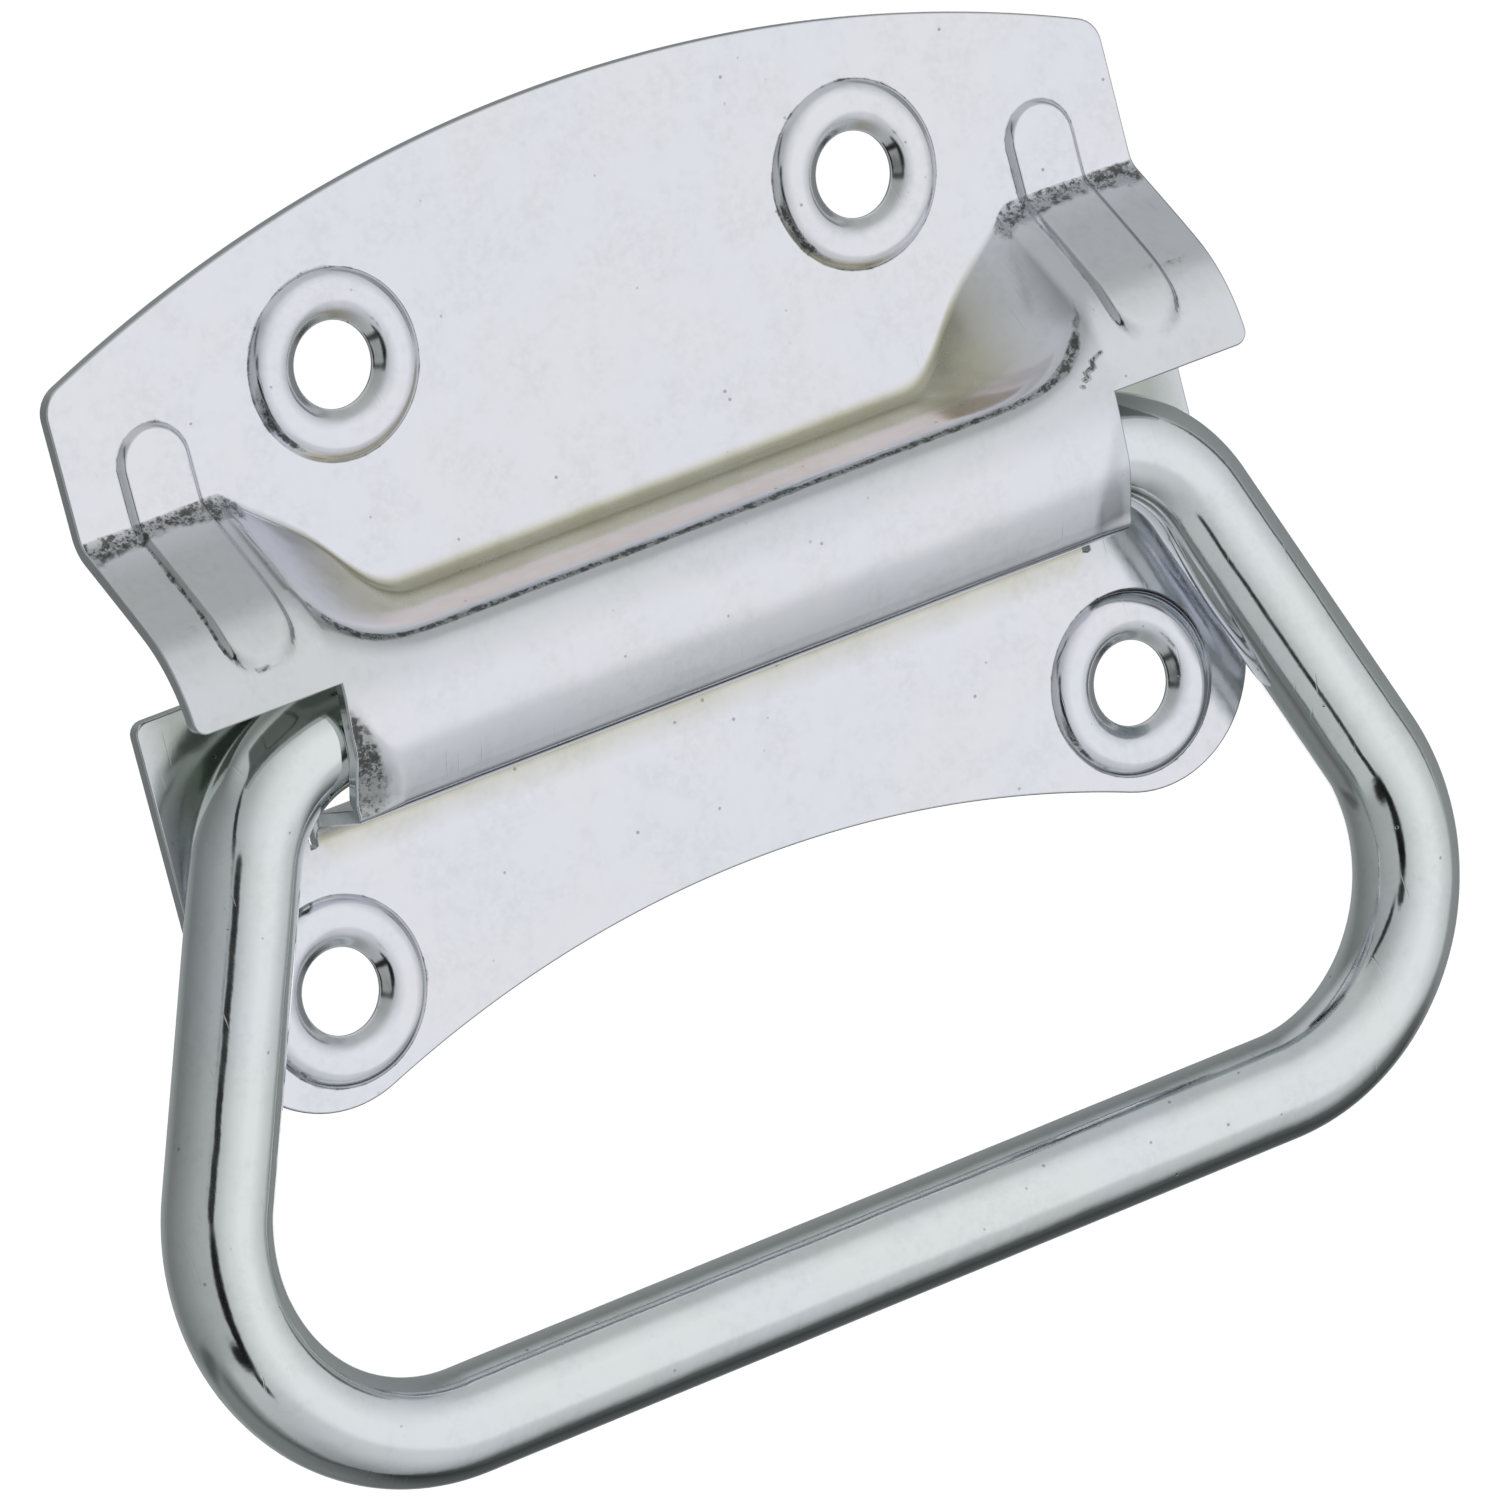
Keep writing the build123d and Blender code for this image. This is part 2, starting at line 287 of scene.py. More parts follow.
# Zinc plating
ZINC_COOL = (0.79, 0.80, 0.862, 1)
ZINC_WARM = (0.80, 0.805, 0.838, 1)
ROD_COOL = (0.765, 0.80, 0.825, 1)
ROD_WARM = (0.765, 0.805, 0.79, 1)
# The dark colour is for painted shade lines, random flecks and pits; the recess colour for painted shade and
# faint random mottle
ZINC_DARK = (0.06, 0.065, 0.06, 1)
ZINC_OLIVE = (0.56, 0.53, 0.37, 1)
ZINC_SHADE_AND_MOTTLE = (0.36, 0.40, 0.35, 1)
ZINC_ROSE = (0.74, 0.64, 0.585, 1)
SHEET_RIPPLE = 1.0
ROD_RIPPLE = 1.3
SHEET_ROUGHNESS = (0.11, 0.18)
ROD_ROUGHNESS = (0.07, 0.12)
# Noise in the plating: scale, detail, roughness and stretch
PLATING = {
    "grain": (5200, 3.0, 0.6),
    "mottle": (1500, 4.0, 0.7),
    "skin": (900, 2.0),
    "scratches": (420, 1.0, 0.5, (14, 1, 0.7)),
    "patches": (320, 4.0, 0.65),
    "waves": (190, 1.0),
    "clouds": (75, 3.0, 0.6),
}
PIT_SCALE = 640
# Heights and depths of the bump, in metres
WAVE_HEIGHT = 0.00006
SKIN_HEIGHT = 0.000006
GRAIN_HEIGHT = 0.0000007
SCRATCH_DEPTH = 0.000003
SPECKLE_DEPTH = 0.000006
PIT_DEPTH = 0.00001


def crossing(first, second):
    """Where two lines meet, each given by two points. Lines that run on meet at the second point."""
    (ax, ay), (bx, by) = first
    (cx, cy), (dx, dy) = second
    turn = (bx - ax) * (dy - cy) - (by - ay) * (dx - cx)
    if abs(turn) < 1e-6:
        return bx, by
    share = ((cx - ax) * (dy - cy) - (cy - ay) * (dx - cx)) / turn
    return ax + share * (bx - ax), ay + share * (by - ay)


def shifted(points, shift):
    """Corners of an open outline after each of its runs has moved to its left."""
    runs = []
    for (ax, ay), (bx, by) in zip(points, points[1:]):
        step = shift / hypot(bx - ax, by - ay)
        left = ((ay - by) * step, (bx - ax) * step)
        runs.append(((ax + left[0], ay + left[1]), (bx + left[0], by + left[1])))
    middle = [crossing(first, second) for first, second in zip(runs, runs[1:])]
    return [runs[0][0], *middle, runs[-1][1]]


def arc(near, corner, far):
    """Function from 0..1 to the arc that leaves near and reaches far along the two sides of a corner."""
    take = (corner - near).length
    before, after = (corner - near) / take, (far - corner) / take
    turn = before.angle_signed(after)
    radius = take / tan(abs(turn) / 2)
    inward = Vector((before.y, -before.x)) * (1 if turn > 0 else -1)
    turn = abs(turn)

    def place(share):
        angle = turn * share
        return near + before * (radius * sin(angle)) + inward * (radius * (1 - cos(angle)))

    return place


def straight(near, far):
    return lambda share: near.lerp(far, share)


def curve(near, handle, far):
    return lambda share: near.lerp(handle, share).lerp(handle.lerp(far, share), share)


def rounded(points, radii, knee=None):
    """Runs of an open outline with rounded corners, each a function from 0..1 to a point."""
    points = [Vector(point) for point in points]
    runs = [b - a for a, b in zip(points, points[1:])]
    turns = [tan(a.angle(b) / 2) for a, b in zip(runs, runs[1:])]
    takes = [0, *[radius * turn for radius, turn in zip(radii, turns)], 0]
    needs = [a + b for a, b in zip(takes, takes[1:])]
    room = [min(1, 0.98 * run.length / need) if need else 1 for run, need in zip(runs, needs)]
    made = []
    here = points[0]
    bend = None
    for number in range(1, len(points) - 1):
        corner, before, after = points[number], runs[number - 1], runs[number]
        if number == knee:
            bend = corner
            continue
        take = takes[number] * min(room[number - 1 : number + 1])
        near = corner - before.normalized() * take
        made.append(curve(here, bend, near) if bend else straight(here, near))
        here = corner + after.normalized() * take
        bend = None
        if take:
            made.append(arc(near, corner, here))
    made.append(straight(here, points[-1]))
    return made


def samples(run, count, start=0.0, end=1.0):
    return [run(start + (end - start) * step / count) for step in range(count)]


def profile(points, radii, counts):
    """Points along an open outline with rounded corners."""
    runs = rounded(points, radii)
    places = [place for run, count in zip(runs, counts) for place in samples(run, count)]
    return [*places, runs[-1](1)]


def section_shape(drop, share):
    """Corners and crest radius of the section that leaves the wall at drop: 0 valley, 1 wings."""
    ease = share**3
    rise = BARREL_DEPTH - SHEET
    foot_crest = VALLEY_FOOT_DROP + rise * tan(radians(VALLEY_FOOT_SLOPE))
    wing_crest = BEND_DROP + rise / tan(radians(WING_ANGLE))
    crest = foot_crest + (wing_crest - foot_crest) * ease
    knee_share = KNEE_START + (KNEE_END - KNEE_START) * share
    straight_drop = drop + knee_share * (crest - drop)
    steep = crest - (1 - knee_share) * (foot_crest - VALLEY_FOOT_DROP)
    crown = WING_CROWN * ease
    knee = (-SHEET - knee_share * rise - crown, -steep - (straight_drop - steep) * ease + crown)
    return drop, knee, crest, CREST_RADIUS + (WING_RADIUS - CREST_RADIUS) * ease**2


def section(inset, drop, knee, crest_drop, radius):
    """Runs of the pressed sheet's front seen along X, moved in by inset, from the top down."""
    corner = (-BARREL_FOOT_DEPTH, -BARREL_DROP)
    front = ((-BARREL_DEPTH, 0), (-BARREL_DEPTH, -1))
    lean = (corner, (corner[0] - tan(radians(BARREL_LEAN)), corner[1] + 1))
    floor = (corner, (corner[0] + 1, corner[1] - tan(radians(BARREL_FLOOR_SLOPE))))
    points = [
        (-SHEET, 2 * SHEET),
        (-SHEET, -drop),
        knee,
        (-BARREL_DEPTH, -crest_drop),
        crossing(front, lean),
        corner,
        crossing(floor, ((-SHEET, 0), (-SHEET, -1))),
        (-SHEET, -BARREL_DROP - 3 * SHEET),
    ]
    outward = [radius, BARREL_RADIUS, BARREL_CORNER_RADIUS]
    radii = [BEND_RADIUS + inset, 0, *[max(size - inset, 0) for size in outward], BEND_RADIUS + inset]
    return rounded(shifted(points, inset), radii, knee=2)


def last_share(holds, low=0.0, high=1.0):
    """The share up to which something holds."""
    for _ in range(30):
        middle = (low + high) / 2
        if holds(middle):
            low = middle
        else:
            high = middle
    return low


def lip_height(x):
    """Height of the lip's edge, which is round at the wings' outer corners."""
    radius = LIP_CORNER_RADIUS - EDGE
    reach = abs(x) - (HALF_WIDTH - LIP_CORNER_RADIUS)
    lift = radius - sqrt(max(radius**2 - max(reach, 0.0) ** 2, 0.0))
    return EDGE - LIP_DROP + lift


def section_rows(x, shape, inset):
    """Rows of the section between the flat sheet above and below: as far as the lip, and beyond it."""
    bend, slope, crest, *barrel, foot = section(inset, *shape)[1:-1]
    height = lip_height(x)
    lip = last_share(lambda share: crest(share).y > height)
    upper = [*samples(bend, BEND_ROWS), *samples(slope, SLOPE_ROWS), *samples(crest, CREST_ROWS, 0, lip)]
    lower = samples(crest, LOW_CREST_ROWS, lip, 1)
    for run, count in zip(barrel, BARREL_ROWS):
        lower += samples(run, count)
    return [*upper, crest(lip)], [*lower, *samples(foot, FOOT_ROWS), foot(1)]


def row_places():
    """Part and share of each row of a section, in the order of section_rows."""
    upper = [(0, step / BEND_ROWS) for step in range(BEND_ROWS)]
    upper += [(1, step / SLOPE_ROWS) for step in range(SLOPE_ROWS)]
    upper += [(2, step / CREST_ROWS) for step in range(CREST_ROWS + 1)]
    lower = [(2, 1.0)] * LOW_CREST_ROWS + [(3, 0.0)] * sum(BARREL_ROWS)
    lower += [(4, step / FOOT_ROWS) for step in range(FOOT_ROWS + 1)]
    return upper, lower


def valley_edge():
    """Foot of the valley's side wall, from share 0..1 to x and drop: two cubic runs with no kink between."""
    foot = Vector((VALLEY_FOOT_X, VALLEY_FOOT_DROP))
    waist = Vector((VALLEY_WAIST_X, VALLEY_WAIST_DROP))
    top = Vector((VALLEY_TOP_X, BEND_DROP))
    first, second = (waist - foot).length, (top - waist).length
    leave, arrive = Vector((1, 0)), (top - waist).normalized()
    pull = 3 * ((waist - foot) / first**2 + (top - waist) / second**2)
    middle = (pull - leave / first - arrive / second) / (2 / first + 2 / second)

    def hermite(a, b, leaving, arriving, span, s):
        return (
            a * (2 * s**3 - 3 * s**2 + 1)
            + leaving * span * (s**3 - 2 * s**2 + s)
            + b * (3 * s**2 - 2 * s**3)
            + arriving * span * (s**3 - s**2)
        )

    def place(share):
        reach = share * (first + second)
        if reach < first:
            return hermite(foot, waist, leave, middle, first, reach / first)
        return hermite(waist, top, middle, arrive, second, (reach - first) / second)

    return place


def bead_steps():
    """Distances from the bead's foot at which the mesh follows its wall, outside positive."""
    wall = [-BEAD_WALL * share for share in (0.15, 0.32, 0.5, 0.7, 0.85, 1.0)]
    return [0.35, 0.12, 0.0, *wall, *[-BEAD_WALL - reach for reach in (0.12, 0.35, 0.7, 1.1)]]


def columns():
    """Right half of the plate's columns: x, shape of the section and share of the way to the wing."""
    place = valley_edge()
    valley = section_shape(VALLEY_FOOT_DROP, 0)
    made = [(VALLEY_FOOT_X * step / MIDDLE_COLUMNS, valley, 0.0) for step in range(MIDDLE_COLUMNS)]
    end = BARREL_HALF_LENGTH - EDGE
    end_share = last_share(lambda share: place(share).x < end, low=0.8)
    for share in [step / SIDE_COLUMNS for step in range(SIDE_COLUMNS + 1)]:
        x, drop = place(share)
        if x < end - 0.1:
            made.append((x, section_shape(drop, share), share))
    made.append((end, section_shape(place(end_share).y, end_share), end_share))
    wing = section_shape(BEND_DROP, 1)
    near = [BEAD_WIDTH / 2 + reach for reach in bead_steps()]
    places = [VALLEY_TOP_X, *[BEAD_X - reach for reach in near], BEAD_X - 0.25, BEAD_X + 0.25]
    places += [BEAD_X + reach for reach in reversed(near)]
    places += [HALF_WIDTH - step for step in SIDE_STEPS]
    return made + [(x, wing, 1.0) for x in places]


def fade_in(value, start, span):
    """0 up to start, 1 a span beyond it, and smooth between them."""
    share = min(max((value - start) / span, 0.0), 1.0)
    return share * share * (3 - 2 * share)


def fade_out(value, start, span):
    return 1 - fade_in(value, start, span)


def hump(value, centre, width):
    return 2.718 ** -(((value - centre) / width) ** 2)


def bead_reach(x, z):
    """Distance inwards from the bead's foot, negative outside it."""
    half = BEAD_WIDTH / 2
    nearest = min(max(z, half - BEAD_DROP), BEAD_TOP - half)
    return half - hypot(abs(x) - BEAD_X, z - nearest)


def bead_height(x, z):
    """Height of the bead above the wing, with a crisp foot and a soft shoulder."""
    share = min(max(bead_reach(x, z) / BEAD_WALL, 0.0), 1.0)
    return BEAD_HEIGHT * (1 - (1 - share) ** 2 * (1 + 0.6 * share))


def dent(x, z):
    """How far the barrel's ends are pressed in, more on the left than on the right."""
    if abs(x) > BARREL_HALF_LENGTH or z > -DENT_DROP or z < -BARREL_DROP - SHEET:
        return 0.0
    level = min((-z - DENT_DROP) / (DENT_FOOT_DROP - DENT_DROP), 1.0)
    reach = abs(x) - BARREL_HALF_LENGTH + DENT_WIDTH * level
    if reach <= 0:
        return 0.0
    limit = DENT_LIMIT + (DENT_LOW_LIMIT - DENT_LIMIT) * fade_in(-z, DENT_LOW_DROP, DENT_FADE)
    depth = min(reach * DENT_SLOPE * min(reach / DENT_SOFT_START, 1.0), limit)
    share = DENT_RIGHT_SHARE if x > 0 else 1.0
    return depth * share * fade_out(-z, BARREL_DROP - DENT_END_RISE, DENT_FADE)


def dent_shade(x, z):
    """Painted shade, black speckle, where the barrel's end is pressed in."""
    edge = BARREL_HALF_LENGTH - abs(x)
    if not 0 <= edge < DENT_WIDTH or z >= -DENT_DROP:
        return 0.0
    black = (DENT_SHADE if x < 0 else DENT_RIGHT_SHADE) * (1 - 0.4 * fade_in(-z, 19.5, 3.0))
    return black * min(dent(x, z) / DENT_LIMIT, 1.0)


def pressed_marks(part, share, tilt, x, z, side):
    """Painted shade lines, olive, rose and painted recess shade of a point of a section.

    part is 0 on the bend, 1 on the slope, 2 on the crest, 3 on the barrel and 4 on its foot.
    """
    valley = fade_out(side, 0.3, 0.55)
    wing = fade_in(side, 0.8, 0.2)
    crease, olive, rose, recess = PLAIN
    if part == 0:
        olive = valley * fade_in(share, 0, 0.5)
        crease = wing * BEND_SHADE * fade_in(share, 0, 0.6) + (1 - wing) * 0.2 * hump(share, 0.9, 0.3)
    elif part == 1:
        olive = valley * fade_out(share, 0.6, 0.24)
        rose = valley * fade_in(share, 0.58, 0.22)
        recess = WING_TOP_SHADE * wing * fade_in(share, 0, 0.3)
        crease = wing * BEND_SHADE * fade_out(share, 0, 0.16)
    elif part == 2:
        crease = CREST_DARK_REFLECTION * (1 - 0.75 * wing) * hump(tilt, CREST_LINE_TILT, CREST_LINE_WIDTH)
        rose = valley * fade_out(share, 0, 0.3)
        recess = WING_TOP_SHADE * max(wing, fade_out(tilt, 40, 25))
    elif part == 3:
        recess = WING_TOP_SHADE
        crease = dent_shade(x, z)
    elif part == 4:
        olive = FOOT_OLIVE * hump(share, 0.8, 0.3)
        crease = FOOT_SHADE * hump(share, 0.15, 0.25)
    if abs(x) < BARREL_HALF_LENGTH:
        recess *= fade_out(-z, 15.2, 3.0)
    elif x > 0:
        recess *= RIGHT_SHADE_SHARE
    return crease, olive, rose, recess


def bead_shade(x, z):
    """Painted shade: dark line along the bead's foot and, fainter, along its shoulder."""
    crease = BEAD_SHADE
    if z < -BEND_DROP and x < -BEAD_X:
        crease = BEAD_LEFT_SHADE
    elif z < -BEND_DROP and x > 0:
        crease = BEAD_RIGHT_SHADE
    reach = bead_reach(x, z)
    return max(crease * hump(reach, 0.02, 0.11), BEAD_SHOULDER_SHADE * hump(reach, BEAD_WALL, 0.1))


def nick_crease(x, z):
    """Black nick in the plating beside the right end of the barrel."""
    up = z - NICK[1]
    across = x - NICK[0] - up * NICK_LEAN
    inside_nick = (across / NICK_SIZE[0]) ** 2 + (up / NICK_SIZE[1]) ** 2 < 1
    return NICK_CREASE if inside_nick else 0.0


def ear_shade(x, z):
    """Painted shade on the ears behind the wings and the rod."""
    if abs(x) < BARREL_HALF_LENGTH or z > -BEND_DROP:
        return 0.0
    inner = 0.35 + 0.65 * fade_in(FOOT_HALF_WIDTH - abs(x), 0, 2.0)
    return EAR_SHADE * inner * fade_out(-z, 21.0, 7.0)


def underside_shade(y):
    """Painted shade on the sheet's back inside the barrel and under the wings."""
    return UNDERSIDE_SHADE * fade_in(-y, 0.8, 2.0)


def rod_shade(z):
    """Painted shade on the rod where it is under the wing and in the barrel."""
    return ROD_SHADE * fade_out(-z, 16.2, 2.6)


class Sheet:
    """Front and back of the pressed sheet, vertex by vertex, and the faces of its front."""

    def __init__(self):
        self.front = []
        self.back = []
        self.marks = []
        self.faces = []

    def add(self, front, back, marks):
        self.front.append(Vector(front))
        self.back.append(Vector(back))
        self.marks.append(marks)
        return len(self.front) - 1

    def add_flat(self, x, z):
        height = bead_height(x, z)
        # painted shade along the beads, and on the ears
        marks = (bead_shade(x, z), 0.0, 0.0, ear_shade(x, z))
        return self.add((x, -SHEET - height, z), (x, -height, z), marks)

    def add_pressed(self, x, side, row, front, back):
        """A point of a section, raised by the bead and pressed in at the barrel's ends."""
        through = (front - back).normalized()
        out = through * bead_height(x, front.y)
        push = dent(x, front.y)
        tilt = degrees(atan2(through.y, -through.x))
        # painted shade and dark reflection lines, the real nick, and painted recess shade
        crease, olive, rose, recess = pressed_marks(*row, tilt, x, front.y, side)
        crease = max(crease, bead_shade(x, front.y), nick_crease(x, front.y))
        # painted shade in the pressed-in dent
        recess = max(recess, min(push, DENT_SHADE_LIMIT))
        front_place = (x, front.x + out.x + push, front.y + out.y)
        back_place = (x, back.x + out.x + push, back.y + out.y)
        return self.add(front_place, back_place, (crease, olive, rose, recess))


def add_pressed_middle(sheet):
    """Wings, valley and barrel as a grid. Returns the vertices along the flats above and below."""
    right = columns()
    every = [(-x, shape, side) for x, shape, side in reversed(right[1:])] + right
    upper_places, lower_places = row_places()
    grid = []
    for x, shape, side in every:
        front_upper, front_lower = section_rows(x, shape, 0)
        back_upper, back_lower = section_rows(x, shape, SHEET)
        upper = [sheet.add_pressed(x, side, *row) for row in zip(upper_places, front_upper, back_upper)]
        lower = []
        if abs(x) < BARREL_HALF_LENGTH:
            rows = list(zip(lower_places, front_lower, back_lower))[1:]
            lower = [upper[-1], *[sheet.add_pressed(x, side, *row) for row in rows]]
        grid.append((upper, lower))
    for near, far in zip(grid, grid[1:]):
        for line, other in zip(near, far):
            sheet.faces += zip(line, line[1:], other[1:], other)
    top = [upper[0] for upper, lower in grid]
    bottom = [lower[-1] for upper, lower in grid if lower]
    return top, bottom


def arc_2d(centre, radius, start, end, count):
    turns = [radians(start + (end - start) * step / count) for step in range(count + 1)]
    return [(centre[0] + radius * cos(turn), centre[1] + radius * sin(turn)) for turn in turns]


def between(start, end, count):
    """Even steps between two places, without the two themselves."""
    return [start + (end - start) * step / count for step in range(1, count)]


def mirrored(points):
    """The same points on the other side, in reversed order."""
    return [(-x, z) for x, z in reversed(points)]


def upper_outline():
    """Edge of the upper flange from its right side over the arch to its left side, moved in by EDGE."""
    radius = ARCH_RADIUS - EDGE
    centre = ARCH_TOP - ARCH_RADIUS
    side = HALF_WIDTH - EDGE
    corner = TOP_CORNER_RADIUS - EDGE
    # Centre of the round corner that touches the side and the arch
    corner_x = side - corner
    corner_z = centre + sqrt((radius - corner) ** 2 - corner_x**2)
    touch = degrees(atan2(corner_z - centre, corner_x))
    right = [(side, corner_z - step) for step in (2.5, 1.2)]
    right += arc_2d((corner_x, corner_z), corner, 0, touch, 8)
    arch = arc_2d((0, centre), radius, touch, 180 - touch, 90)[1:-1]
    return right + arch + mirrored(right)


def lower_outline(top_z):
    """Edge of the lower flange and the ears, from the right slit round to the left slit."""
    side = FOOT_HALF_WIDTH - EDGE
    ear_x = BARREL_HALF_LENGTH + EAR_GAP + EDGE
    ear_z = -EAR_DROP - EDGE
    ear_round = EAR_CORNER_RADIUS - EDGE
    ear_low = ear_z - ear_round
    foot_round = FOOT_CORNER_RADIUS - EDGE
    corner = (FOOT_HALF_WIDTH - FOOT_CORNER_RADIUS, FOOT_CORNER_RADIUS - FOOT_DROP)
    rise = corner[1] + FOOT_ARCH_DROP
    hollow = (corner[0] ** 2 + rise**2 - FOOT_CORNER_RADIUS**2) / (2 * (FOOT_CORNER_RADIUS - rise))
    hollow_centre = -FOOT_ARCH_DROP - hollow
    touch = degrees(atan2(corner[1] - hollow_centre, corner[0]))
    slit_z = top_z - EDGE
    right = [(BARREL_HALF_LENGTH + EAR_GAP / 2, slit_z), (ear_x, slit_z + EDGE / 2)]
    right += [(ear_x, z) for z in between(slit_z, ear_low, 14)]
    right += arc_2d((ear_x + ear_round, ear_low), ear_round, 180, 90, 5)
    right += [(x, ear_z) for x in between(ear_x + ear_round, side - ear_round, 8)]
    right += arc_2d((side - ear_round, ear_low), ear_round, 90, 0, 5)
    right += [(side, z) for z in between(ear_low, corner[1], 16)]
    right += arc_2d(corner, foot_round, 0, touch - 180, 26)
    arch = arc_2d((0, hollow_centre), hollow + EDGE, touch, 180 - touch, 60)[1:-1]
    return right + arch + mirrored(right)


def inside(point, outline):
    x, z = point
    within = False
    for (ax, az), (bx, bz) in zip(outline, outline[1:] + outline[:1]):
        if (az > z) != (bz > z) and x < (bx - ax) * (z - az) / (bz - az) + ax:
            within = not within
    return within


def distance_to(point, outline):
    best = 1e9
    px, pz = point
    for (ax, az), (bx, bz) in zip(outline, outline[1:] + outline[:1]):
        dx, dz = bx - ax, bz - az
        share = ((px - ax) * dx + (pz - az) * dz) / (dx * dx + dz * dz)
        share = min(max(share, 0.0), 1.0)
        best = min(best, hypot(px - ax - share * dx, pz - az - share * dz))
    return best


def spread(start, end, step):
    count = max(1, round(abs(end - start) / step))
    return [start + (end - start) * number / count for number in range(count + 1)]


def lattice(low, high):
    """Points all over the plate's width between two heights."""
    return [(x, z) for x in spread(-35, 35, FLAT_GRID) for z in spread(low, high, FLAT_GRID)]


def bead_points():
    """Points in the flat sheet that follow the beads' upper ends."""
    half = BEAD_WIDTH / 2
    top = BEAD_TOP - half
    points = []
    for reach in bead_steps():
        radius = half + reach
        for x in (BEAD_X, -BEAD_X):
            points += arc_2d((x, top), radius, 0, 180, 24)
            for z in spread(top, -BEAD_POINTS_DROP, BEAD_POINTS_STEP)[1:]:
                points += [(x - radius, z), (x + radius, z)]
    return points


def fill_flat(sheet, border, free, rings, extra):
    """Fills a flat area. border holds vertices in order that are there already, free the rest of its edge."""
    outline = [(sheet.front[number].x, sheet.front[number].z) for number in border] + free
    ring_reach = RING_RADIUS + RING_REACH
    holes = [arc_2d(ring, ring_reach, 0, 360, RING_SPOKES)[:-1] for ring in rings]
    points, edges = [], []
    for loop in [outline, *holes]:
        start, size = len(points), len(loop)
        points += loop
        edges += [(start + step, start + (step + 1) % size) for step in range(size)]
    numbers = border + [sheet.add_flat(x, z) for x, z in free]
    hole_numbers = [[sheet.add_flat(x, z) for x, z in hole] for hole in holes]
    numbers += sum(hole_numbers, [])
    for point in extra:
        near_ring = any(hypot(point[0] - x, point[1] - z) < ring_reach + FLAT_RING_GAP for x, z in rings)
        if inside(point, outline) and not near_ring and distance_to(point, outline) > FLAT_POINT_GAP:
            points.append(point)
            numbers.append(sheet.add_flat(*point))
    places, _, faces, origins, *_ = delaunay_2d_cdt([Vector(point) for point in points], edges, [], 0, 1e-5)
    for face in faces:
        centre = sum((places[corner] for corner in face), Vector((0, 0))) / len(face)
        if inside(centre, outline) and not any(inside(centre, hole) for hole in holes):
            sheet.faces.append(tuple(numbers[origins[corner][0]] for corner in face))
    return hole_numbers


def ring_profiles():
    """Front and back of the raised ring as lists of radius and depth, from the flat sheet to the hole."""
    top = SHEET + RING_HEIGHT
    reach = RING_RADIUS + RING_REACH
    hole = HOLE_RADIUS + HOLE_EDGE
    front = [
        (reach, SHEET),
        (RING_RADIUS, SHEET),
        (RING_RADIUS - RING_SHOULDER_RUN, top),
        (HOLE_MOUTH_RADIUS, top),
        (hole, RING_HEIGHT + HOLE_LAND),
    ]
    inner = RING_RADIUS - RING_BACK_INSET
    back = [(reach, 0), (inner, 0), (inner - RING_SLOPE, RING_HEIGHT), (hole, RING_HEIGHT)]
    front_rounds = (RING_FOOT_ROUND, RING_SHOULDER_ROUND, RING_MOUTH_ROUND)
    return profile(front, front_rounds, RING_FRONT_ROWS), profile(back, RING_BACK_ROUNDS, RING_BACK_ROWS)


def ring_marks(radius, turn, upper):
    """Painted shade and dark reflection marks of a point of a ring by its radius and its turn in degrees."""
    dark_reflection = STREAK_DARK_REFLECTION if upper else LOW_STREAK_DARK_REFLECTION
    dark_reflection *= hump(radius, RING_RADIUS - STREAK_INSET, STREAK_WIDTH) * hump(turn, STREAK_TURN, STREAK_SPREAD)
    mouth = MOUTH_DARK_REFLECTION * hump(radius, HOLE_MOUTH_RADIUS - MOUTH_INSET, MOUTH_WIDTH)
    mouth *= hump(turn, MOUTH_TURN, MOUTH_SPREAD)
    foot = RING_FOOT_SHADE * hump(radius, RING_RADIUS, RING_FOOT_WIDTH)
    recess = MOUTH_SHADE * fade_in(HOLE_MOUTH_RADIUS - radius, 0, MOUTH_SHADE_RUN)
    return max(foot, dark_reflection, mouth), 0.0, 0.0, recess


def add_ring(sheet, centre, border):
    """Raised ring inside a circle of the flat sheet, down to the edge of its hole."""
    x, z = centre
    line = border
    for pair in list(zip(*ring_profiles()))[1:]:
        row = []
        for spoke in range(RING_SPOKES):
            angle = 2 * pi * spoke / RING_SPOKES
            places = [(x + radius * cos(angle), -depth, z + radius * sin(angle)) for radius, depth in pair]
            row.append(sheet.add(*places, ring_marks(pair[0].x, degrees(angle), z == 0)))
        sheet.faces += zip(line, line[1:] + line[:1], row[1:] + row[:1], row)
        line = row


def border_loops(faces):
    """Closed loops of vertices along the open edges of the faces, in the faces' own direction."""
    directed = dict.fromkeys((a, b) for face in faces for a, b in zip(face, face[1:] + face[:1]))
    following = {a: b for a, b in directed if (b, a) not in directed}
    loops = []
    while following:
        start, here = following.popitem()
        loop = [start]
        while here != start:
            loop.append(here)
            here = following.pop(here)
        loops.append(loop)
    return loops


def consistent(sheet):
    """Turns every front face so that it looks towards the room."""
    turned = []
    for face in sheet.faces:
        places = [sheet.front[number] for number in face]
        normal = (places[2] - places[0]).cross(places[-1] - places[1])
        depth = sum((sheet.front[number] - sheet.back[number] for number in face), Vector())
        turned.append(face if normal.dot(depth) > 0 else face[::-1])
    sheet.faces = turned


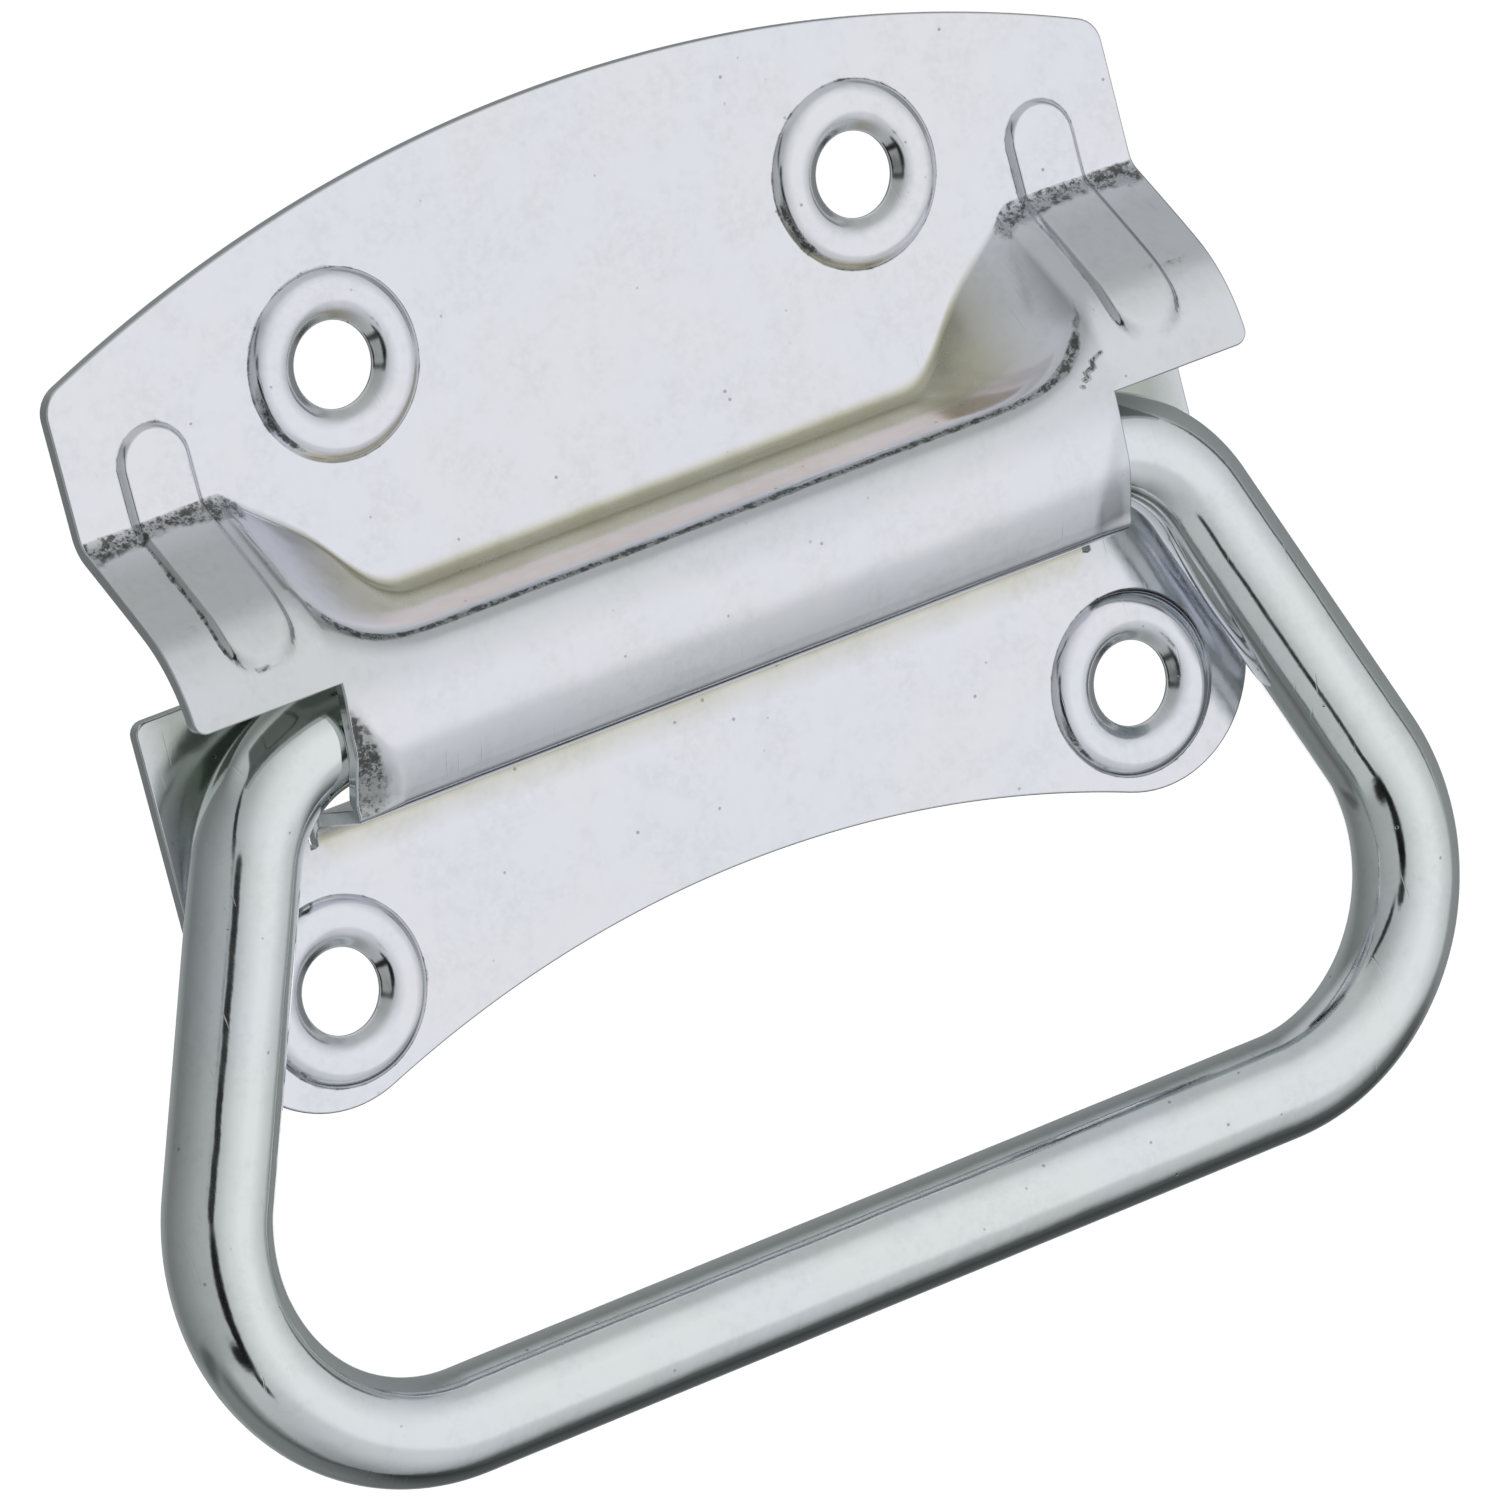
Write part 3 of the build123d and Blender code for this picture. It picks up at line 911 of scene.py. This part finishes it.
def close_sheet(sheet):
    """Vertices and faces of the whole sheet: front, back, and rounded edges between them."""
    count = len(sheet.front)
    vertices = sheet.front + sheet.back
    # the back gets painted shade inside the barrel and under the wings
    marks = sheet.marks + [(0.0, 0.0, 0.0, underside_shade(place.y)) for place in sheet.back]
    faces = list(sheet.faces) + [tuple(count + number for number in reversed(face)) for face in sheet.faces]
    for loop in border_loops(sheet.faces):
        edge = HOLE_EDGE if len(loop) == RING_SPOKES else EDGE
        steps = [(edge * sin(radians(turn)), edge * (1 - cos(radians(turn)))) for turn in EDGE_TURNS]
        rows = []
        for number, before, after in zip(loop, loop[-1:] + loop, loop[1:] + loop[:1]):
            front, back = sheet.front[number], sheet.back[number]
            deep = (back - front).normalized()
            out = (sheet.front[after] - sheet.front[before]).cross(-deep).normalized()
            start = len(vertices)
            vertices += [front + out * wide + deep * low for wide, low in steps]
            vertices += [back + out * wide - deep * low for wide, low in reversed(steps)]
            rows.append([number, *range(start, len(vertices)), count + number])
        for line, after in zip(rows, rows[1:] + rows[:1]):
            faces += zip(line, line[1:], after[1:], after)
    # the rounded cut edges get painted shade
    marks += [EDGE_SHADE_MARKS] * (len(vertices) - len(marks))
    return vertices, faces, marks


def add_flange(sheet, border, free, rings, extra):
    """Flat sheet between the pressed middle's border and the free rest of its edge, with its rings."""
    holes = fill_flat(sheet, border, free, rings, extra)
    for centre, hole in zip(rings, holes):
        add_ring(sheet, centre, hole)


def add_upper_flange(sheet, border):
    """Along the pressed middle from the left, then up the right side and back over the arch."""
    grid = lattice(-12.5, 10.5)
    clear = BEAD_WIDTH / 2 + FLAT_BEAD_GAP
    top = BEAD_TOP + FLAT_BEAD_GAP
    extra = [point for point in grid if abs(abs(point[0]) - BEAD_X) > clear or point[1] > top]
    outline = upper_outline()
    low, high = sheet.front[border[-1]].z + 0.3, outline[0][1] - 0.3
    sides = [(HALF_WIDTH - EDGE, z) for z in spread(-3.2, 5.0, 1.0) if low < z < high]
    free = sides + outline + mirrored(sides)
    rings = [(UPPER_HOLE_X, 0), (-UPPER_HOLE_X, 0)]
    add_flange(sheet, border, free, rings, extra + bead_points())


def add_lower_flange(sheet, border):
    free = lower_outline(sheet.front[border[0]].z)
    rings = [(LOWER_HOLE_X, -LOWER_HOLE_DROP), (-LOWER_HOLE_X, -LOWER_HOLE_DROP)]
    add_flange(sheet, border, free, rings, lattice(-40, -16))


def build_sheet():
    sheet = Sheet()
    top, bottom = add_pressed_middle(sheet)
    add_upper_flange(sheet, top)
    add_lower_flange(sheet, bottom)
    consistent(sheet)
    return close_sheet(sheet)


def broad_normals(mesh):
    """Normal of each vertex, in which broad faces count most, so that flats stay flat up to their edges."""
    normals = [Vector() for _ in mesh.vertices]
    for face in mesh.polygons:
        share = face.normal * face.area
        for number in face.vertices:
            normals[number] += share
    return [normal.normalized() for normal in normals]


def make_piece(name, vertices, faces, marks, material, body):
    mesh = bpy.data.meshes.new(name)
    mesh.from_pydata([Vector(vertex) * MM for vertex in vertices], [], faces)
    for number, title in enumerate(MARKS):
        layer = mesh.attributes.new(title, "FLOAT", "POINT")
        layer.data.foreach_set("value", [entry[number] for entry in marks])
    mesh.materials.append(material)
    mesh.polygons.foreach_set("use_smooth", [True] * len(mesh.polygons))
    mesh.normals_split_custom_set_from_vertices(broad_normals(mesh))
    piece = bpy.data.objects.new(name, mesh)
    bpy.context.scene.collection.objects.link(piece)
    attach(piece, body)
    return piece


def bail_path():
    """Centre line of the rod in its own plane, as points with their directions."""
    grip_x = LEG_TOP_X + GRIP_DROP * tan(radians(LEG_FLARE))
    half = [(ROD_END_GAP / 2, 0), (LEG_TOP_X, 0), (grip_x, -GRIP_DROP)]
    points = half + mirrored(half)
    radii = [LEG_BEND_RADIUS, GRIP_BEND_RADIUS, GRIP_BEND_RADIUS, LEG_BEND_RADIUS]
    return profile(points, radii, ROD_ROWS)


def rod_rings(last):
    """Place on the path, radius and push along it of each ring of the rod, whose ends are rounded."""
    thick = ROD_RADIUS - ROD_SKIN
    flat = thick - ROD_END_ROUND
    end = [(radius, 0.0) for radius in (*ROD_END_RADII, flat)]
    for turn in (30, 60, 90):
        push = ROD_END_ROUND * (1 - cos(radians(turn)))
        end.append((flat + ROD_END_ROUND * sin(radians(turn)), push))
    start = [(0, radius, push) for radius, push in end]
    finish = [(last, radius, -push) for radius, push in reversed(end)]
    return start + [(number, thick, 0.0) for number in range(1, last)] + finish


def build_bail():
    depth = -(SHEET + ROD_CLEARANCE + ROD_RADIUS)
    path = bail_path()
    last = len(path) - 1
    vertices, faces, rings = [], [], []
    for number, radius, push in rod_rings(last):
        along = (path[min(number + 1, last)] - path[max(number - 1, 0)]).normalized()
        side = Vector((along.y, -along.x))
        centre = path[number] + along * push
        ring = []
        for step in range(ROD_SPOKES if radius else 1):
            angle = 2 * pi * step / ROD_SPOKES
            place = centre + side * (radius * cos(angle))
            ring.append(len(vertices))
            vertices.append((place.x, depth + radius * sin(angle), place.y - AXLE_DROP))
        rings.append(ring)
    for line, other in zip(rings, rings[1:]):
        for step in range(ROD_SPOKES):
            after = step + 1
            near = (line[step % len(line)], line[after % len(line)])
            far = (other[after % len(other)], other[step % len(other)])
            faces.append(tuple(dict.fromkeys(near + far)))
    # painted shade on the rod under the wing and in the barrel
    marks = [(0.0, 0.0, 0.0, rod_shade(z)) for x, y, z in vertices]
    return vertices, faces, marks


def add_camera():
    data = bpy.data.cameras.new("camera")
    data.lens = CAMERA_LENS
    data.sensor_width = CAMERA_SENSOR
    data.clip_start, data.clip_end = 0.05, 50
    camera = bpy.data.objects.new("camera", data)
    bpy.context.scene.collection.objects.link(camera)
    place, aim = Vector(CAMERA_PLACE), Vector(CAMERA_AIM)
    camera.location = place
    turn = (aim - place).to_track_quat("-Z", "Y").to_matrix()
    camera.rotation_euler = (turn @ Matrix.Rotation(-radians(CAMERA_ROLL), 3, "Z")).to_euler()
    bpy.context.scene.camera = camera


def new_material(name):
    material = bpy.data.materials.new(name)
    material.use_nodes = True
    material.node_tree.nodes.clear()
    return material, material.node_tree


class Value:
    """Socket of a shader node. Sums and products with it are Math nodes."""

    def __init__(self, socket):
        self.socket = socket
        self.tree = socket.id_data

    def __add__(self, other):
        return maths("ADD", self, other)

    def __sub__(self, other):
        return maths("SUBTRACT", self, other)

    def __rsub__(self, other):
        return maths("SUBTRACT", other, self)

    def __mul__(self, other):
        return maths("MULTIPLY", self, other)

    def __truediv__(self, other):
        return maths("DIVIDE", self, other)

    __radd__ = __add__
    __rmul__ = __mul__


def feed(value, target):
    """Links a socket to an input, or sets the input to a number, a colour or a vector."""
    value = getattr(value, "socket", value)
    if hasattr(value, "is_output"):
        target.id_data.links.new(value, target)
    else:
        target.default_value = value


def node(tree, kind, **inputs):
    """A shader node with some of its inputs fed, by their names."""
    made = tree.nodes.new("ShaderNode" + kind)
    for name, value in inputs.items():
        feed(value, made.inputs[name.replace("_", " ")])
    return made


def join(tree, kind, *values):
    """A shader node with its first inputs fed, in their order."""
    made = node(tree, kind)
    for value, target in zip(values, made.inputs):
        feed(value, target)
    return made


def maths(operation, *values):
    tree = next(value.tree for value in values if isinstance(value, Value))
    made = join(tree, "Math", *values)
    made.operation = operation
    return Value(made.outputs[0])


def greater(first, second):
    return maths("MAXIMUM", first, second)


def seen_ray(tree):
    """1 where the ray comes from the camera or from a gloss or glass surface."""
    rays = node(tree, "LightPath").outputs
    kinds = ("Is Camera Ray", "Is Glossy Ray", "Is Transmission Ray")
    camera, gloss, glass = [Value(rays[kind]) for kind in kinds]
    return greater(greater(camera, gloss), glass)


def floor_material():
    """Pale floor. The camera and the metal see it as white, less the object's shadow."""
    material, tree = new_material("floor_white")
    paint = node(tree, "BsdfDiffuse", Color=(FLOOR_WHITE, FLOOR_WHITE, FLOOR_WHITE, 1))
    glow = node(tree, "Emission", Color=WHITE, Strength=seen_ray(tree) * FLOOR_LIFT)
    both = join(tree, "AddShader", paint.outputs[0], glow.outputs[0])
    node(tree, "OutputMaterial", Surface=both.outputs[0])
    return material


def add_floor():
    """Floor under and behind the handle. In front of it the metal sees the studio instead."""
    low = cad_box[0].z - FLOOR_GAP
    mesh = bpy.data.meshes.new("floor")
    right = [(FLOOR_NEAR_HALF, FLOOR_FRONT), (FLOOR_FAR_HALF, FLOOR_BACK)]
    turn = Matrix.Rotation(-radians(FLOOR_TURN), 3, "Z")
    corners = [turn @ Vector((x, y, low)) for x, y in right + mirrored(right)]
    mesh.from_pydata(corners, [], [(0, 1, 2, 3)])
    mesh.materials.append(floor_material())
    floor = bpy.data.objects.new("floor", mesh)
    bpy.context.scene.collection.objects.link(floor)


def ramp(value, low, high, stops):
    """Level that follows a value through stops of value and level."""
    made = join(value.tree, "ValToRGB", (value - low) / (high - low))
    elements = made.color_ramp.elements
    placed = [((place - low) / (high - low), level) for place, level in stops]
    for element, (place, level) in zip(elements, (placed[0], placed[-1])):
        element.position, element.color = place, (level, level, level, 1)
    for place, level in placed[1:-1]:
        elements.new(place).color = (level, level, level, 1)
    return Value(made.outputs[0])


def blend(share, first, second):
    """first where share is 0, second where it is 1."""
    return first + (second - first) * share


def soft_step(value, low, high):
    """0 up to low, 1 from high, and smooth between them."""
    made = node(value.tree, "MapRange", Value=value, From_Min=low, From_Max=high)
    made.interpolation_type = "SMOOTHSTEP"
    return Value(made.outputs["Result"])


def gap(azimuth, elevation, place):
    """1 inside a leaning oval of the studio round a direction in degrees, 0 outside it."""
    turn, lift, wide, high, soft, lean = place
    up = elevation - lift
    across = (azimuth - turn - up * tan(radians(lean))) / wide
    up = up / high
    reach = maths("SQRT", across * across + up * up)
    return soft_step(reach, 1.0 + soft, 1.0 - soft)


def studio_level(tree):
    """Brightness of the soft studio by direction: bright in front and to the right, grey elsewhere."""
    coords = node(tree, "TexCoord").outputs["Generated"]
    x, y, z = [Value(part) for part in join(tree, "SeparateXYZ", coords).outputs]
    azimuth = maths("DEGREES", maths("ARCTAN2", x, y * -1.0))
    elevation = maths("DEGREES", maths("ARCSINE", z))

    def shade(round_stops, height_stops):
        return ramp(azimuth, -180, 180, round_stops) * ramp(elevation, -90, 90, height_stops)

    level = shade(STUDIO_ROUND, STUDIO_UPWARDS)
    level = blend(soft_step(elevation, *ZENITH_SPAN), level, STUDIO_ZENITH)
    level = blend(soft_step(elevation, *LOW_SPAN), level, shade(STUDIO_LOW_ROUND, STUDIO_DOWNWARDS))
    for *place, dark in STUDIO_DARKS:
        level = blend(gap(azimuth, elevation, place), level, dark)
    return level


def add_world():
    """The metal sees the studio, and the camera sees white."""
    world = bpy.data.worlds.new("studio")
    bpy.context.scene.world = world
    world.use_nodes = True
    tree = world.node_tree
    tree.nodes.clear()
    level = studio_level(tree)
    tint = mixed(level, STUDIO_DARK_TINT, STUDIO_LIGHT_TINT)
    studio = node(tree, "Background", Color=tint, Strength=level).outputs[0]
    white = node(tree, "Background", Color=WHITE, Strength=1.0).outputs[0]
    seen = node(tree, "LightPath").outputs["Is Camera Ray"]
    node(tree, "OutputWorld", Surface=join(tree, "MixShader", seen, studio, white).outputs[0])


def add_lamp():
    """Soft lamp above. It lights the floor and dull spots, and the metal doesn't mirror it."""
    data = bpy.data.lights.new("soft_top", "AREA")
    data.shape = "SQUARE"
    data.size = LAMP_SIZE
    data.energy = LAMP_POWER
    lamp = bpy.data.objects.new("soft_top", data)
    lamp.location = LAMP_PLACE
    lamp.visible_glossy = False
    aim = Vector(CAMERA_AIM) - Vector(LAMP_PLACE)
    lamp.rotation_euler = aim.to_track_quat("-Z", "Y").to_euler()
    bpy.context.scene.collection.objects.link(lamp)


def noise(coords, scale, detail, rough=0.5, stretch=(1, 1, 1)):
    mapped = node(coords.tree, "Mapping", Vector=coords, Scale=stretch).outputs[0]
    made = node(coords.tree, "TexNoise", Vector=mapped, Scale=scale, Detail=detail, Roughness=rough)
    return Value(made.outputs["Fac"])


def marked(tree, name):
    made = node(tree, "Attribute")
    made.attribute_name = name
    return Value(made.outputs["Fac"])


def mixed(share, first, second):
    """Colour between two others, each a colour or a socket."""
    made = node(share.tree, "Mix")
    made.data_type = "RGBA"
    for number, value in ((0, share), (6, first), (7, second)):
        feed(value, made.inputs[number])
    return Value(made.outputs[2])


def dark_speckle(fields):
    """Share of dark speckle: painted shade along the shade lines, and random dark flecks in the plating."""
    crease, mottle = fields["crease"], fields["mottle"]
    broken = soft_step(fields["patches"] + crease * 0.5, 0.72, 0.98)
    flecks = greater(broken * soft_step(mottle, 0.40, 0.62), broken * 0.35)
    spots = mottle * 0.4 + fields["grain"] * 0.6 + crease * 0.2
    black = soft_step(spots, 0.70, 0.85) * 0.65 + 0.35
    return greater(flecks, soft_step(crease, 0.7, 1.2) * black)


def dark_pits(coords, patches):
    """Share of small dark pits, in groups."""
    cells = node(coords.tree, "TexVoronoi", Vector=coords, Scale=PIT_SCALE)
    pit = soft_step(Value(cells.outputs["Distance"]), 0.09, 0.04)
    return pit * soft_step(patches, 0.50, 0.56)


def plating_colour(fields, cool, warm):
    """Pale with faint warm clouds, olive and rose in the valley, painted shade in the recesses, painted dark
    speckle along the shade lines, and dark pits.
    """
    patches = fields["patches"]
    uneven = patches * 0.5 + 0.62
    faint = soft_step(fields["mottle"], 0.35, 0.7) * soft_step(patches, 0.38, 0.6)
    colour = mixed(soft_step(fields["clouds"], 0.35, 0.65), cool, warm)
    layers = [
        (fields["olive"] * uneven, ZINC_OLIVE),
        (fields["rose"] * uneven, ZINC_ROSE),
        # painted shade, then painted dark speckle along the shade lines
        (fields["recess"], ZINC_SHADE_AND_MOTTLE),
        (fields["speckle"] * 0.93, ZINC_DARK),
        (faint * 0.12, ZINC_SHADE_AND_MOTTLE),
        (fields["pit"] * 0.5, ZINC_DARK),
    ]
    for share, tint in layers:
        colour = mixed(share, colour, tint)
    return colour


def plating_roughness(fields, smooth_part, rough_part):
    patchy = blend(soft_step(fields["patches"], 0.3, 0.7), smooth_part, rough_part)
    return patchy + fields["speckle"] * 0.25 + fields["olive"] * 0.14


def plating_bump(fields, ripple):
    """Ripples, skin and grain stand out. Scratches, speckle and pits lie in."""
    layers = [
        (fields["waves"], ripple * WAVE_HEIGHT),
        (fields["skin"], ripple * SKIN_HEIGHT),
        (fields["grain"], GRAIN_HEIGHT),
        (soft_step(fields["scratches"], 0.70, 0.78) * -1.0, SCRATCH_DEPTH),
        (fields["speckle"] * -1.0, SPECKLE_DEPTH),
        (fields["pit"] * -1.0, PIT_DEPTH),
    ]
    under = {}
    for height, distance in layers:
        normal = node(height.tree, "Bump", Height=height, Distance=distance, **under).outputs[0]
        under = {"Normal": normal}
    return normal


def zinc_material(name, cool, warm, ripple, roughness):
    """Bright zinc plating, with painted shade and dark reflections from the mesh's marks."""
    material, tree = new_material(name)
    coords = Value(node(tree, "TexCoord").outputs["Object"])
    fields = {field: noise(coords, *values) for field, values in PLATING.items()}
    fields |= {field: marked(tree, field) for field in MARKS}
    fields["speckle"] = dark_speckle(fields)
    fields["pit"] = dark_pits(coords, fields["patches"])
    shader = node(
        tree,
        "BsdfPrincipled",
        Metallic=1.0,
        Base_Color=plating_colour(fields, cool, warm),
        Roughness=plating_roughness(fields, *roughness),
        Normal=plating_bump(fields, ripple),
    )
    node(tree, "OutputMaterial", Surface=shader.outputs[0])
    return material


add_camera()
add_floor()
add_world()
add_lamp()
sheet_zinc = zinc_material("zinc_sheet", ZINC_COOL, ZINC_WARM, SHEET_RIPPLE, SHEET_ROUGHNESS)
rod_zinc = zinc_material("zinc_rod", ROD_COOL, ROD_WARM, ROD_RIPPLE, ROD_ROUGHNESS)
plate = make_piece("pressed_plate", *build_sheet(), sheet_zinc, "plate")
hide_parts("back_plate")
bail = make_piece("bent_rod", *build_bail(), rod_zinc, "bail")
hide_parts("bail")

bpy.context.scene.view_settings.view_transform = "Standard"
